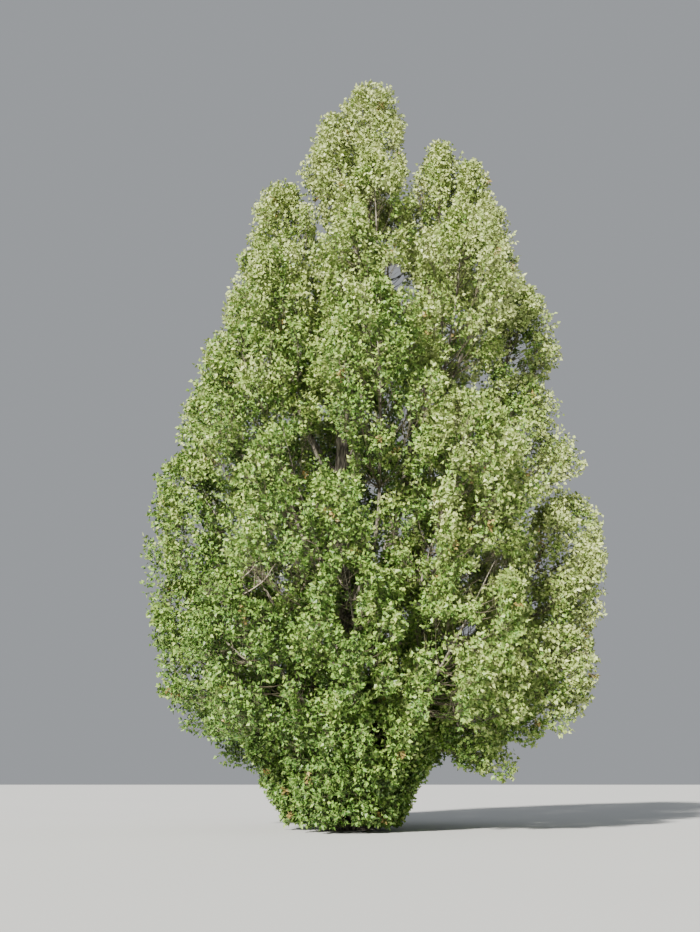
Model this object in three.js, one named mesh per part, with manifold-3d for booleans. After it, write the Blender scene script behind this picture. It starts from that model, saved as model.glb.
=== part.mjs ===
// A Lombardy poplar in full summer leaf, about 30 m tall, with a second leader on its right.
//
// Millimetres, +Z up. The origin is the middle of the flat cut under the trunk, at ground level. +X is to
// the right and +Y away from someone who looks at the tree from the road. Azimuths are in degrees from +X
// to +Y.
//
// Each limb is one tapering solid. Each mass of leaves is one solid in the shape of a flame, with a space of
// its own: a stem, a lumpy core, twigs and short shoots that stand out of the core, and blades on them. Each
// blade stands for a spray of small leaves.

import * as THREE from "three";
import { mergeVertices } from "three/addons/utils/BufferGeometryUtils.js";
import Module from "manifold-3d";

const wasm = await Module();
wasm.setup();

const METRE = 1000;
const DEGREE = Math.PI / 180;
const SEED = 1874;

// Driving sizes of the crown.
const TREE_HEIGHT = 30.1 * METRE;
const CROWN_RADIUS = 7.9 * METRE;
const CROWN_WAIST = 8 * METRE; // height at which the crown is widest
const CROWN_POINT = 30.5 * METRE; // height at which the crown's outline would close
const CROWN_POWER = 0.65; // how round the outline is above the waist
const CROWN_OFFSET = 0.9 * METRE; // the crown's middle stands this far to the right of the trunk's foot
const CROWN_DRIFT = 0.6 * METRE; // and drifts this much further right on the way up

// The trunk: a slight bow to the left low down, a lean to the right at the top.
const TRUNK_HEIGHT = 22.8 * METRE;
const TRUNK_RADIUS = 0.54 * METRE; // above the root flare
const TRUNK_TIP_RADIUS = 0.075 * METRE;
const TRUNK_TAPER = 1.15;
const TRUNK_LEAN = 0.75 * METRE; // sideways shift of its tip
const TRUNK_BOW = 0.75 * METRE;
const TRUNK_BOW_TO_FRONT = 0.25; // share of the bow that also goes to the front
const FLARE_RADIUS = 0.36 * METRE; // added by the root flare at the ground
const FLARE_HEIGHT = 0.4 * METRE; // in which the flare loses two thirds of its radius
const BUTTRESSES = 7;
const BUTTRESS_DEPTH = 0.22; // share of the flare that is lost on each side of a hollow

// The second leader, which leaves the trunk to the right and ends upright.
const LEADER_FORK = 4.4 * METRE;
const LEADER_TIP = new THREE.Vector3(3.45 * METRE, 0.3 * METRE, 20.6 * METRE);
const LEADER_END = new THREE.Vector3(0.1, 0, 1).normalize(); // its direction at the tip
const LEADER_RADIUS = 0.27 * METRE;
const LEADER_TIP_RADIUS = 0.075 * METRE;
const LEADER_CLEAR = 2.5 * METRE; // above its fork, where boughs leave it and not the trunk
const LEADER_SECTOR = 0.35; // cosine of the azimuth within which it carries boughs

// Boughs, and the stems of the masses that have no bough.
const LOWEST_FORK = 0.35 * METRE;
const LOWEST_FORK_SHARE = 0.35; // of the height of the foot of the mass
const BOUGH_TIP_RADIUS = 0.06 * METRE;
const STEM_RADIUS = 0.09 * METRE;
const STEM_TIP_RADIUS = 0.04 * METRE;
const LIMB_BEND = 0.45; // of its reach, over which a limb's end keeps its direction
const LIMB_TAPER = 1.2;

// Gaps.
const CLEARANCE = 0.4; // between two solids that meet
const SPRAY_CLEARANCE = 20; // between foliage and a limb that it passes
const GROUND_CLEARANCE = 30;

// The foliage, tier by tier from the ground up. lean is the angle of a mass from upright, length and girth
// are its length and its largest radius, rise is the angle at which its bough climbs, and bough is the
// radius of that bough at its fork. Each mass is [azimuth, height of its tip in metres, reach as a share of
// the crown's radius at that height, changes to its tier's sizes]. A mass with no bough grows its stem from
// the trunk or the leader.
const TIERS = [
  {
    name: "base",
    lean: 24,
    length: 6.6 * METRE,
    girth: 2.6 * METRE,
    rise: 20,
    masses: [
      [-102, 8.3, 0.6, { length: 9.8 * METRE, lean: 21, girth: 2.6 * METRE }],
      [-30, 4.4, 0.33, { length: 5.6 * METRE, girth: 1.7 * METRE }],
      [75, 5.4, 0.42, { girth: 2.2 * METRE }],
      [172, 5.4, 0.54, { girth: 2.1 * METRE }],
    ],
  },
  {
    name: "skirt",
    lean: 48,
    length: 6.4 * METRE,
    girth: 2.9 * METRE,
    rise: 32,
    bough: 0.15 * METRE,
    masses: [
      [4, 8.6, 1.02, { lean: 56, girth: 2.5 * METRE }],
      [-22, 4.2, 0.76, { lean: 72, length: 4.6 * METRE, girth: 1.8 * METRE, bough: 0 }],
      [-25, 6.0, 0.98, { lean: 60, girth: 2.5 * METRE }],
      [-62, 8.0, 0.94],
      [-100, 8.2, 0.9],
      [-138, 7.8, 0.94],
      [-176, 8.4, 0.99],
      [140, 7.2, 0.97],
      [96, 7.8, 0.96, { bough: 0 }],
      [48, 7.4, 0.96],
    ],
  },
  {
    name: "lower",
    lean: 34,
    length: 7.6 * METRE,
    girth: 3.5 * METRE,
    rise: 46,
    bough: 0.16 * METRE,
    masses: [
      [-4, 11.7, 0.97],
      [-64, 13.6, 0.92],
      [-116, 12.4, 0.94],
      [-175, 13.2, 0.99],
      [122, 13.2, 0.96],
      [60, 12.6, 0.96],
    ],
  },
  {
    name: "middle",
    lean: 23,
    length: 7.4 * METRE,
    girth: 3.2 * METRE,
    rise: 52,
    bough: 0.13 * METRE,
    masses: [
      [-14, 16.2, 0.81],
      [-92, 17.8, 0.86],
      [-142, 17.0, 0.94],
      [166, 17.6, 0.96, { bough: 0 }],
      [108, 17.2, 0.93, { bough: 0 }],
      [44, 17.6, 0.86, { bough: 0 }],
    ],
  },
  {
    name: "upper",
    lean: 13,
    length: 6.8 * METRE,
    girth: 2.8 * METRE,
    rise: 54,
    masses: [
      [-2, 20.4, 0.9],
      [-48, 22.0, 0.82],
      [-104, 21.8, 0.7],
      [-152, 21.0, 0.84],
      [165, 21.8, 0.86],
      [108, 22.8, 0.88],
      [48, 23.0, 0.82],
    ],
  },
  {
    name: "top",
    lean: 7,
    length: 6.4 * METRE,
    girth: 2.3 * METRE,
    rise: 58,
    masses: [
      [-4, 26.2, 0.92, { girth: 2.0 * METRE }],
      [-14, 24.0, 0.84, { girth: 2.0 * METRE }],
      [178, 25.4, 0.96],
      [190, 28.4, 0.86, { girth: 2.0 * METRE }],
      [-100, 25.2, 0.55],
      [85, 26.2, 0.7],
    ],
  },
];

// The masses at the tips of the trunk and of the leader.
const CROWN_TIP = new THREE.Vector3(0.86 * METRE, 0, TREE_HEIGHT);
const CROWN_TOP_GIRTH = 2.4 * METRE;
const LEADER_TOP_TIP = new THREE.Vector3(3.8 * METRE, 0.3 * METRE, 27.3 * METRE);
const LEADER_TOP_GIRTH = 2.4 * METRE;

// A mass of foliage.
const FLAME_SKEW = 0.75; // under 1 it is fullest below its middle
const FLAME_POWER = 0.55; // how blunt its ends are
const NEIGHBOUR_REACH = 16 * METRE; // between the tips of two masses that may share a border
const CORE_FILL = 0.48; // share of its space's radius
const CORE_LUMPS = 0.25; // by how much that share varies up and down
const CORE_FOOT = 0.05; // where along the mass a core on a stem starts
const CORE_TOP = 0.86; // where along the mass a core ends
const CORE_SIDES = 7;
const CORE_RINGS = 5;
const TIP_OVERLAP = 0.004; // share of its length by which a core starts inside its bough before it is cut
const STEM_END = 0.3; // where along the mass a stem ends, inside the core
const SUCKER_STEM_END = 0.45; // the same for a mass that grows from the ground

// Twigs and short shoots on the core, and their blades. Lengths are shares of the mass's girth.
const SPRAYS_PER_MASS = 2;
const SHOOTS_PER_MASS = 6;
const SHOOT_GAP = 0.9 * METRE; // least distance between two roots
const ROOT_DEPTH = 0.12 * METRE; // how deep a root sits in the core
const SHOOT_LENGTH = 0.8;
const SHOOT_TURN = [0.6, 1.5]; // how far it turns from the core's face to the mass's axis, least and most
const TWIG_LENGTH = 0.6;
const TWIG_RADIUS = 0.06 * METRE;
const TWIG_TURN = 1.3;
const END_BLADE_ROOT = 0.8; // where along the twig its end blade starts
const SIDE_BLADE_ROOT = 0.5; // and its side blade
const SIDE_BLADE_TURN = 1.5; // how far the side blade turns to the side
const BLADE_LENGTH = 0.52;
const BLADE_OVERLAP = 20; // between a side blade and its twig
const BLADE_WIDTH = 0.78; // of its length
const BLADE_WIDEST = 0.42; // how far along it is widest
const BLADE_THICKNESS = 0.05; // of its length
const BLADE_FITS = [
  [1, 1],
  [0.85, 0.9],
  [0.7, 0.8],
  [0.6, 0.6],
  [0.45, 0.7],
]; // shares of length and width that are tried in turn until a blade stays in its space
const TIP_BLADE_ROOT = 0.03; // of the mass's length, by which the blade at the tip starts inside the core
const TIP_BLADE_WIDTH = 0.9; // of an ordinary blade's

const BARK = new THREE.MeshStandardMaterial({ color: 0x8b8273, roughness: 0.9, metalness: 0 });
const LEAVES = new THREE.MeshStandardMaterial({ color: 0x7b8f45, roughness: 0.6, metalness: 0 });

// Small tools.

// A seeded generator of numbers from 0 to 1.
function seeded(seed) {
  let state = seed >>> 0;
  return () => {
    state = (state + 0x6d2b79f5) >>> 0;
    let mixed = Math.imul(state ^ (state >>> 15), 1 | state);
    mixed = (mixed + Math.imul(mixed ^ (mixed >>> 7), 61 | mixed)) ^ mixed;
    return ((mixed ^ (mixed >>> 14)) >>> 0) / 4294967296;
  };
}

function bare(geometry) {
  geometry.deleteAttribute("normal");
  geometry.deleteAttribute("uv");
  return mergeVertices(geometry, 1e-3);
}

function solidOf(geometry) {
  const merged = bare(geometry);
  return new wasm.Manifold(
    new wasm.Mesh({
      numProp: 3,
      vertProperties: new Float32Array(merged.attributes.position.array),
      triVerts: new Uint32Array(merged.index.array),
    }),
  );
}

function geometryOf(solid) {
  const mesh = solid.getMesh();
  const geometry = new THREE.BufferGeometry();
  geometry.setAttribute("position", new THREE.BufferAttribute(mesh.vertProperties, 3));
  geometry.setIndex(new THREE.BufferAttribute(mesh.triVerts, 1));
  geometry.computeVertexNormals();
  return geometry;
}

function boxesMeet(a, b) {
  const [one, two] = [a.boundingBox(), b.boundingBox()];
  return [0, 1, 2].every((k) => one.min[k] <= two.max[k] && two.min[k] <= one.max[k]);
}

const meets = (a, b) => boxesMeet(a, b) && !a.intersect(b).isEmpty();

const largest = (solid) => solid.decompose().sort((a, b) => b.volume() - a.volume())[0];

// What is left of a solid, in one piece, after it is cut by all the tools that reach it.
function cutClear(solid, tools) {
  const near = tools.filter((tool) => boxesMeet(solid, tool));
  return near.length ? largest(near.reduce((left, tool) => left.subtract(tool), solid)) : solid;
}

const bandBetween = ([least, most], random) => least + (most - least) * random();

// Limbs.

// A unit cylinder laid along a curve, with radiusAt(t, angle) as its radius. grow makes the same limb larger
// all over. The trunk keeps its rings level.
function limb({ curve, radiusAt, sides, rings, level = false }, grow = 0) {
  const geometry = new THREE.CylinderGeometry(1, 1, 1, sides, rings);
  const position = geometry.attributes.position;
  for (let i = 0; i < position.count; i++) {
    const t = position.getY(i) + 0.5;
    const forward = level ? new THREE.Vector3(0, 0, 1) : curve.getTangent(t);
    const side = new THREE.Vector3().crossVectors(curve.flat, forward).normalize();
    const across = side.clone().cross(forward);
    const radius = radiusAt(t, Math.atan2(position.getZ(i), position.getX(i))) + grow;
    const end = t < 1e-6 ? -grow : t > 1 - 1e-6 ? grow : 0;
    const point = curve
      .getPoint(t)
      .addScaledVector(side, position.getX(i) * radius)
      .addScaledVector(across, position.getZ(i) * radius)
      .addScaledVector(forward, end);
    position.setXYZ(i, point.x, point.y, point.z);
  }
  return solidOf(geometry);
}

class TrunkCurve extends THREE.Curve {
  constructor() {
    super();
    this.flat = new THREE.Vector3(0, 1, 0);
  }
  getPoint(t) {
    const bow = -TRUNK_BOW * Math.sin(Math.PI * t) * Math.sqrt(t);
    return new THREE.Vector3(TRUNK_LEAN * t * t + bow, TRUNK_BOW_TO_FRONT * bow, TRUNK_HEIGHT * t);
  }
}

function trunkRadius(t, angle) {
  const stem = TRUNK_TIP_RADIUS + (TRUNK_RADIUS - TRUNK_TIP_RADIUS) * Math.pow(1 - t, TRUNK_TAPER);
  const hollow = 1 - BUTTRESS_DEPTH * (1 - Math.cos(BUTTRESSES * angle));
  return stem + FLARE_RADIUS * Math.exp((-t * TRUNK_HEIGHT) / FLARE_HEIGHT) * hollow;
}

const tapering = (thick, thin) => (t) => thin + (thick - thin) * Math.pow(1 - t, LIMB_TAPER);

// A bend from one place to another, which it reaches in the given direction.
function bend(from, to, direction) {
  const reach = from.distanceTo(to);
  const middle = to.clone().addScaledVector(direction, -LIMB_BEND * reach);
  const curve = new THREE.QuadraticBezierCurve3(from, middle, to);
  curve.flat = new THREE.Vector3(to.y - from.y, from.x - to.x, 0).normalize();
  return curve;
}

// The place at a height on a curve that climbs all the way.
function atHeight(curve, height) {
  let [low, high] = [0, 1];
  while (high - low > 1e-6) {
    const middle = (low + high) / 2;
    if (curve.getPoint(middle).z < height) low = middle;
    else high = middle;
  }
  return curve.getPoint(low);
}

const trunkCurve = new TrunkCurve();
const leaderCurve = bend(atHeight(trunkCurve, LEADER_FORK), LEADER_TIP, LEADER_END);

const limbs = new Map(); // by name
const grownLimbs = new Map(); // the same limbs larger by the gap to what touches them
const limbBarriers = new Map(); // and larger by the gap to what passes them

// A limb ends where it meets one that is there already.
function addLimb(name, spec) {
  limbs.set(name, cutClear(limb(spec), [...grownLimbs.values()]));
  grownLimbs.set(name, limb(spec, CLEARANCE));
  limbBarriers.set(name, limb(spec, SPRAY_CLEARANCE));
}

addLimb("trunk", { curve: trunkCurve, radiusAt: trunkRadius, sides: 14, rings: 13, level: true });
addLimb("leader_right", {
  curve: leaderCurve,
  radiusAt: tapering(LEADER_RADIUS, LEADER_TIP_RADIUS),
  sides: 9,
  rings: 8,
});

// The height on a limb's middle from which a bough climbs to a foot at the angle rise.
function forkHeight(curve, foot, rise) {
  let fork = Math.max(foot.z, LOWEST_FORK);
  for (let round = 0; round < 12; round++) {
    const from = atHeight(curve, fork);
    const across = Math.hypot(foot.x - from.x, foot.y - from.y);
    fork = Math.max(LOWEST_FORK, LOWEST_FORK_SHARE * foot.z, foot.z - across * Math.tan(rise * DEGREE));
  }
  return fork;
}

// The place on the trunk or the leader from which a mass at an azimuth is carried.
function rootFor(azimuth, foot, rise) {
  const onLeader = forkHeight(leaderCurve, foot, rise);
  if (Math.cos(azimuth) > LEADER_SECTOR && onLeader > LEADER_FORK + LEADER_CLEAR)
    return atHeight(leaderCurve, onLeader);
  return atHeight(trunkCurve, forkHeight(trunkCurve, foot, rise));
}

// The space of each mass: a flame round an axis from its foot to its tip.

function crownRadius(height) {
  const rise = Math.max(0, (height - CROWN_WAIST) / (CROWN_POINT - CROWN_WAIST));
  return CROWN_RADIUS * Math.pow(1 - rise * rise, CROWN_POWER);
}

function onCrown(azimuth, height, share) {
  const middle = CROWN_OFFSET + CROWN_DRIFT * Math.pow(height / TREE_HEIGHT, 2);
  const reach = crownRadius(height) * share;
  return new THREE.Vector3(middle + reach * Math.cos(azimuth), reach * Math.sin(azimuth), height);
}

function makeSpace(name, foot, tip, girth) {
  const axis = tip.clone().sub(foot);
  const length = axis.length();
  axis.normalize();
  const side = new THREE.Vector3(0, 1, 0).cross(axis).normalize();
  return { name, foot, tip, girth, length, axis, side, across: side.clone().cross(axis) };
}

const spaces = [];

for (const tier of TIERS) {
  tier.masses.forEach(([degrees, tipHeight, share, changes], index) => {
    const { lean, length, girth, rise, bough } = { ...tier, ...changes };
    const azimuth = degrees * DEGREE;
    const tip = onCrown(azimuth, tipHeight * METRE, share);
    const outwards = Math.sin(lean * DEGREE);
    const axis = new THREE.Vector3(
      outwards * Math.cos(azimuth),
      outwards * Math.sin(azimuth),
      Math.cos(lean * DEGREE),
    );
    const foot = tip.clone().addScaledVector(axis, -length);
    const space = makeSpace(`foliage_${tier.name}_${index + 1}`, foot, tip, girth);
    space.root = rootFor(azimuth, foot, rise);
    if (bough) {
      space.carrier = `bough_${tier.name}_${index + 1}`;
      addLimb(space.carrier, {
        curve: bend(space.root, foot, axis),
        radiusAt: tapering(bough, BOUGH_TIP_RADIUS),
        sides: 7,
        rings: 3,
      });
    }
    spaces.push(space);
  });
}

const crownTop = makeSpace("foliage_crown_top", trunkCurve.getPoint(1), CROWN_TIP, CROWN_TOP_GIRTH);
crownTop.carrier = "trunk";
const leaderTop = makeSpace("foliage_leader_top", LEADER_TIP, LEADER_TOP_TIP, LEADER_TOP_GIRTH);
leaderTop.carrier = "leader_right";
spaces.push(crownTop, leaderTop);

spaces.forEach((space, index) => {
  space.seed = SEED + index;
  space.near = spaces.filter(
    (other) => other !== space && other.tip.distanceTo(space.tip) < NEIGHBOUR_REACH,
  );
});

const along = (space, t) => space.foot.clone().addScaledVector(space.axis, t * space.length);

function outward(space, angle) {
  return space.side
    .clone()
    .multiplyScalar(Math.cos(angle))
    .addScaledVector(space.across, Math.sin(angle));
}

// How full a flame is at t along it, from 0 to 1.
function fullness(t) {
  return t <= 0 || t >= 1 ? 0 : Math.pow(Math.sin(Math.PI * Math.pow(t, FLAME_SKEW)), FLAME_POWER);
}

// How far a point lies out from a space's axis, as a share of the space's radius there.
function depthIn(space, point) {
  const from = point.clone().sub(space.foot);
  const t = from.dot(space.axis) / space.length;
  const full = fullness(t);
  if (!full) return Infinity;
  return from.addScaledVector(space.axis, -t * space.length).length() / (space.girth * full);
}

// A space holds a point that is nearer to its axis, by that measure, than to any other space's.
function holds(space, point) {
  const depth = depthIn(space, point);
  return depth <= 1 && space.near.every((other) => depthIn(other, point) > depth);
}

// How far a space reaches out at t in the direction of an angle round it.
function reachOut(space, t, angle) {
  const direction = outward(space, angle);
  const full = space.girth * fullness(t);
  const steps = 24;
  for (let step = 1; step <= steps; step++) {
    const point = along(space, t).addScaledVector(direction, (full * (step - 0.5)) / steps);
    if (!holds(space, point)) return (full * (step - 1)) / steps;
  }
  return full;
}

// Masses of foliage.

// The core: a sphere laid along the space's axis and drawn in to a share of the space's reach. A core with a
// bough or limb of its own starts at its tip, and the others start higher and have a stem.
function coreGeometry(space, grow = 0) {
  const random = seeded(space.seed);
  const geometry = bare(new THREE.SphereGeometry(1, CORE_SIDES, CORE_RINGS));
  const position = geometry.attributes.position;
  const start = space.carrier ? -TIP_OVERLAP : CORE_FOOT;
  for (let i = 0; i < position.count; i++) {
    const t = THREE.MathUtils.mapLinear(position.getY(i), -1, 1, start, CORE_TOP);
    const atPole = Math.hypot(position.getX(i), position.getZ(i)) < 1e-4;
    const angle = Math.atan2(position.getZ(i), position.getX(i));
    const fill = CORE_FILL * (1 + CORE_LUMPS * (2 * random() - 1));
    const radius = atPole ? 0 : fill * reachOut(space, t, angle) + grow;
    const point = along(space, t).addScaledVector(outward(space, angle), radius);
    position.setXYZ(i, point.x, point.y, point.z);
  }
  return geometry;
}

// The middle and the outward direction of each face of a core, in a seeded order.
function facesOf(geometry, random) {
  const faces = [];
  for (let i = 0; i < geometry.index.count; i += 3) {
    const corners = [0, 1, 2].map((k) => {
      const corner = new THREE.Vector3();
      return corner.fromBufferAttribute(geometry.attributes.position, geometry.index.getX(i + k));
    });
    const triangle = new THREE.Triangle(...corners);
    const middle = triangle.getMidpoint(new THREE.Vector3());
    const normal = triangle.getNormal(new THREE.Vector3());
    faces.push({ middle, normal, order: random() });
  }
  return faces.sort((a, b) => a.order - b.order);
}

// The stem of a mass that has no bough, from its root into the middle of the core.
function stemOf(space) {
  const inside = along(space, space.foot.z < 0 ? SUCKER_STEM_END : STEM_END);
  const curve = bend(space.root, inside, space.axis);
  return { curve, radiusAt: tapering(STEM_RADIUS, STEM_TIP_RADIUS), sides: 5, rings: 3 };
}

// A blade: an octahedron flattened and widest below its middle.
function makeBlade(foot, direction, face, length, wide) {
  const geometry = new THREE.OctahedronGeometry(1);
  const position = geometry.attributes.position;
  const width = new THREE.Vector3().crossVectors(face, direction).normalize();
  const normal = new THREE.Vector3().crossVectors(direction, width);
  for (let i = 0; i < position.count; i++) {
    const [x, y, z] = [position.getX(i), position.getY(i), position.getZ(i)];
    const forward = y > 0.5 ? length : y < -0.5 ? 0 : BLADE_WIDEST * length;
    const point = foot
      .clone()
      .addScaledVector(direction, forward)
      .addScaledVector(normal, (x * BLADE_THICKNESS * length) / 2)
      .addScaledVector(width, (z * wide * BLADE_WIDTH * length) / 2);
    position.setXYZ(i, point.x, point.y, point.z);
  }
  return solidOf(geometry);
}

// A three-sided twig that ends in a point.
function makeTwig(from, to) {
  const along = to.clone().sub(from);
  const geometry = new THREE.ConeGeometry(TWIG_RADIUS, along.length(), 3);
  geometry.applyQuaternion(
    new THREE.Quaternion().setFromUnitVectors(new THREE.Vector3(0, 1, 0), along.normalize()),
  );
  const middle = from.clone().lerp(to, 0.5);
  return solidOf(geometry.translate(middle.x, middle.y, middle.z));
}

// The largest of the tried blades that stays in its space and off the ground, or none.
function fitBlade(space, foot, direction, face, length) {
  const width = new THREE.Vector3().crossVectors(face, direction).normalize();
  for (const [long, wide] of BLADE_FITS) {
    const widest = foot.clone().addScaledVector(direction, BLADE_WIDEST * long * length);
    const half = (wide * BLADE_WIDTH * length) / 2;
    const corners = [half, -half].map((offset) => widest.clone().addScaledVector(width, offset));
    corners.push(foot.clone().addScaledVector(direction, long * length));
    if (corners.every((corner) => corner.z > GROUND_CLEARANCE && holds(space, corner)))
      return makeBlade(foot, direction, face, long * length, wide);
  }
  return null;
}

// Where a shoot is rooted under a face of the core, where it points, and how its blades lie.
function shootFrom(space, { middle, normal }, turn) {
  const direction = normal.clone().addScaledVector(space.axis, turn).normalize();
  const across = new THREE.Vector3().crossVectors(space.axis, normal).normalize();
  const face = new THREE.Vector3().crossVectors(direction, across).normalize();
  return { foot: middle.clone().addScaledVector(direction, -ROOT_DEPTH), direction, across, face };
}

// A short shoot: one blade.
function makeShoot(space, site, random) {
  const { foot, direction, face } = shootFrom(space, site, bandBetween(SHOOT_TURN, random));
  return [fitBlade(space, foot, direction, face, SHOOT_LENGTH * space.girth)];
}

// A twig with a blade at its end and one at its side.
function makeSpray(space, site, random) {
  const { foot, direction, across, face } = shootFrom(space, site, TWIG_TURN);
  const at = (share) => foot.clone().addScaledVector(direction, share * TWIG_LENGTH * space.girth);
  const turn = random() < 0.5 ? SIDE_BLADE_TURN : -SIDE_BLADE_TURN;
  const aside = direction.clone().addScaledVector(across, turn).normalize();
  const sideRoot = at(SIDE_BLADE_ROOT).addScaledVector(aside, -BLADE_OVERLAP);
  return [
    makeTwig(foot, at(1)),
    fitBlade(space, at(END_BLADE_ROOT), direction, face, BLADE_LENGTH * space.girth),
    fitBlade(space, sideRoot, aside, face, BLADE_LENGTH * space.girth),
  ];
}

// The blade at the very tip.
function makeTipBlade(space) {
  const foot = along(space, CORE_TOP - TIP_BLADE_ROOT);
  const face = outward(space, space.seed);
  return makeBlade(foot, space.axis, face, space.tip.distanceTo(foot), TIP_BLADE_WIDTH);
}

// Stems come first, then cores cut clear of all limbs, of the other stems and of the cores before them, and
// then shoots that are kept where they touch nothing but their own core.

const ground = solidOf(
  new THREE.BoxGeometry(60 * METRE, 60 * METRE, 10 * METRE).translate(0, 0, GROUND_CLEARANCE - 5 * METRE),
);

const stems = new Map();
const stemBarriers = new Map();
for (const space of spaces) {
  if (space.carrier) continue;
  stems.set(space.name, cutClear(limb(stemOf(space)), [...grownLimbs.values(), ...stemBarriers.values()]));
  stemBarriers.set(space.name, limb(stemOf(space), SPRAY_CLEARANCE));
}

const masses = new Map();
const grownCores = [];
for (const space of spaces) {
  space.barriers = [...limbBarriers, ...stemBarriers]
    .filter(([name]) => name !== space.name && name !== space.carrier)
    .map(([, solid]) => solid);
  if (space.carrier) space.barriers.push(grownLimbs.get(space.carrier));
  const shape = coreGeometry(space);
  space.faces = facesOf(shape, seeded(space.seed));
  const core = cutClear(solidOf(shape), [ground, ...space.barriers, ...grownCores]);
  grownCores.push(solidOf(coreGeometry(space, CLEARANCE)));
  masses.set(space.name, stems.has(space.name) ? core.add(stems.get(space.name)) : core);
}

function addShoots(space) {
  const random = seeded(space.seed + spaces.length);
  const others = [...masses].filter(([name]) => name !== space.name).map(([, solid]) => solid);
  const obstacles = [...space.barriers, ...others];
  const clear = (solid) => solid && !obstacles.some((obstacle) => meets(solid, obstacle));
  const pieces = [masses.get(space.name), ...[makeTipBlade(space)].filter(clear)];
  const used = [];
  let [sprays, shoots] = [0, 0];
  for (const site of space.faces) {
    if (site.middle.z < GROUND_CLEARANCE + ROOT_DEPTH) continue;
    if (used.some((middle) => middle.distanceTo(site.middle) < SHOOT_GAP)) continue;
    const twigged = sprays < SPRAYS_PER_MASS;
    if (!twigged && shoots === SHOOTS_PER_MASS) break;
    const grown = (twigged ? makeSpray : makeShoot)(space, site, random);
    if (!grown.every(clear)) continue;
    if (twigged) sprays++;
    else shoots++;
    pieces.push(...grown);
    used.push(site.middle);
  }
  masses.set(space.name, largest(wasm.Manifold.union(pieces)));
}
spaces.forEach(addShoots);

// The tree.

const tree = new THREE.Group();
for (const [name, solid, material] of [
  ...[...limbs].map(([name, solid]) => [name, solid, BARK]),
  ...[...masses].map(([name, solid]) => [name, solid, LEAVES]),
]) {
  const mesh = new THREE.Mesh(geometryOf(solid), material);
  mesh.name = name;
  tree.add(mesh);
}

export default tree;
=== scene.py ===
"""A Lombardy poplar in full summer leaf, about 30 m tall, with a second leader on its right.

Metres, +Z up. The middle of the flat cut under the trunk is the origin, +X is to the right and +Y is away
from someone who looks at the tree from the road.
"""

import math

import bpy
import numpy as np
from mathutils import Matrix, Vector, noise


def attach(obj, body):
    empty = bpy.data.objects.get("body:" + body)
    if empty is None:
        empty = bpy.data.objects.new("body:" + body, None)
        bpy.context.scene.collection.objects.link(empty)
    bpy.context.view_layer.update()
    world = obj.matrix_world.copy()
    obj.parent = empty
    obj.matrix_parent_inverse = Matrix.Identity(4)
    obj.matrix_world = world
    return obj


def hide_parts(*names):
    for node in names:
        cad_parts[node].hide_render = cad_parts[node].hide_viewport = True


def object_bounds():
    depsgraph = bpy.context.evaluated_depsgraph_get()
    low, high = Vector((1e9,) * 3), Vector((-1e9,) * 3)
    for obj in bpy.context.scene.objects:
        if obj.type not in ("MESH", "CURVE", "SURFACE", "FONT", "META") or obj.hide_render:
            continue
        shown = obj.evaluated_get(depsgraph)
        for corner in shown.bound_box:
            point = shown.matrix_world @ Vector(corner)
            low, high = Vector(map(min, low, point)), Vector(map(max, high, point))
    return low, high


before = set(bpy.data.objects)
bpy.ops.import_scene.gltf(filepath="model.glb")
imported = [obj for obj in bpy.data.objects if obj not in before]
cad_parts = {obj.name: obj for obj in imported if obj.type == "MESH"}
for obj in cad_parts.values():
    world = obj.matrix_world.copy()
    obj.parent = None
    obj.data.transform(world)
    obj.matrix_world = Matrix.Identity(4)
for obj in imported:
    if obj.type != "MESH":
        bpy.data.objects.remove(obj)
cad_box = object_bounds()


# The viewpoint: someone at the edge of the road, 36 m in front of the tree, looks up at its middle.
# The frame is 700 wide and 932 high, and 1000 of those units are one focal length.
EYE = np.array([0.0, -36.0, 1.5])
PITCH = math.radians(17.59)
FOCAL_SHARE = 1000 / 932
SENSOR = 36.0
VIEW_REACH = 2000

camera_data = bpy.data.cameras.new("camera")
camera_data.sensor_fit = "AUTO"
camera_data.sensor_width = SENSOR
camera_data.lens = SENSOR * FOCAL_SHARE
camera_data.clip_end = VIEW_REACH
camera = bpy.data.objects.new("camera", camera_data)
camera.location = EYE
camera.rotation_euler = (math.pi / 2 + PITCH, 0, 0)
bpy.context.scene.collection.objects.link(camera)
bpy.context.scene.camera = camera


# The light: one soft source at the left and in front, like a low hazy sun, and an even pale surround
# that fills the shade.
LIGHT_FROM = Vector((-0.4, -0.8, 0.44))
LIGHT_COLOUR = (1.0, 0.96, 0.88)
LIGHT_STRENGTH = 12.9
LIGHT_SPREAD = math.radians(4)
SURROUND = (0.86, 0.9, 0.95, 1)
SURROUND_STRENGTH = 0.41

light_data = bpy.data.lights.new("key_light", "SUN")
light_data.energy = LIGHT_STRENGTH
light_data.angle = LIGHT_SPREAD
light_data.color = LIGHT_COLOUR
light = bpy.data.objects.new("key_light", light_data)
light.rotation_euler = LIGHT_FROM.to_track_quat("Z", "Y").to_euler()
bpy.context.scene.collection.objects.link(light)

surround = bpy.data.worlds.new("surround")
surround.use_nodes = True
background = surround.node_tree.nodes["Background"]
background.inputs["Color"].default_value = SURROUND
background.inputs["Strength"].default_value = SURROUND_STRENGTH
bpy.context.scene.world = surround


# The floor: a plain pale matt surface at ground level, far wider than the tree, in two very close
# shades that run into each other.
FLOOR_REACH = 900.0
FLOOR_COLOUR = (0.56, 0.57, 0.57)
FLOOR_SHADES = (0.97, 1.03)
FLOOR_ROUGHNESS = 0.9


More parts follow.
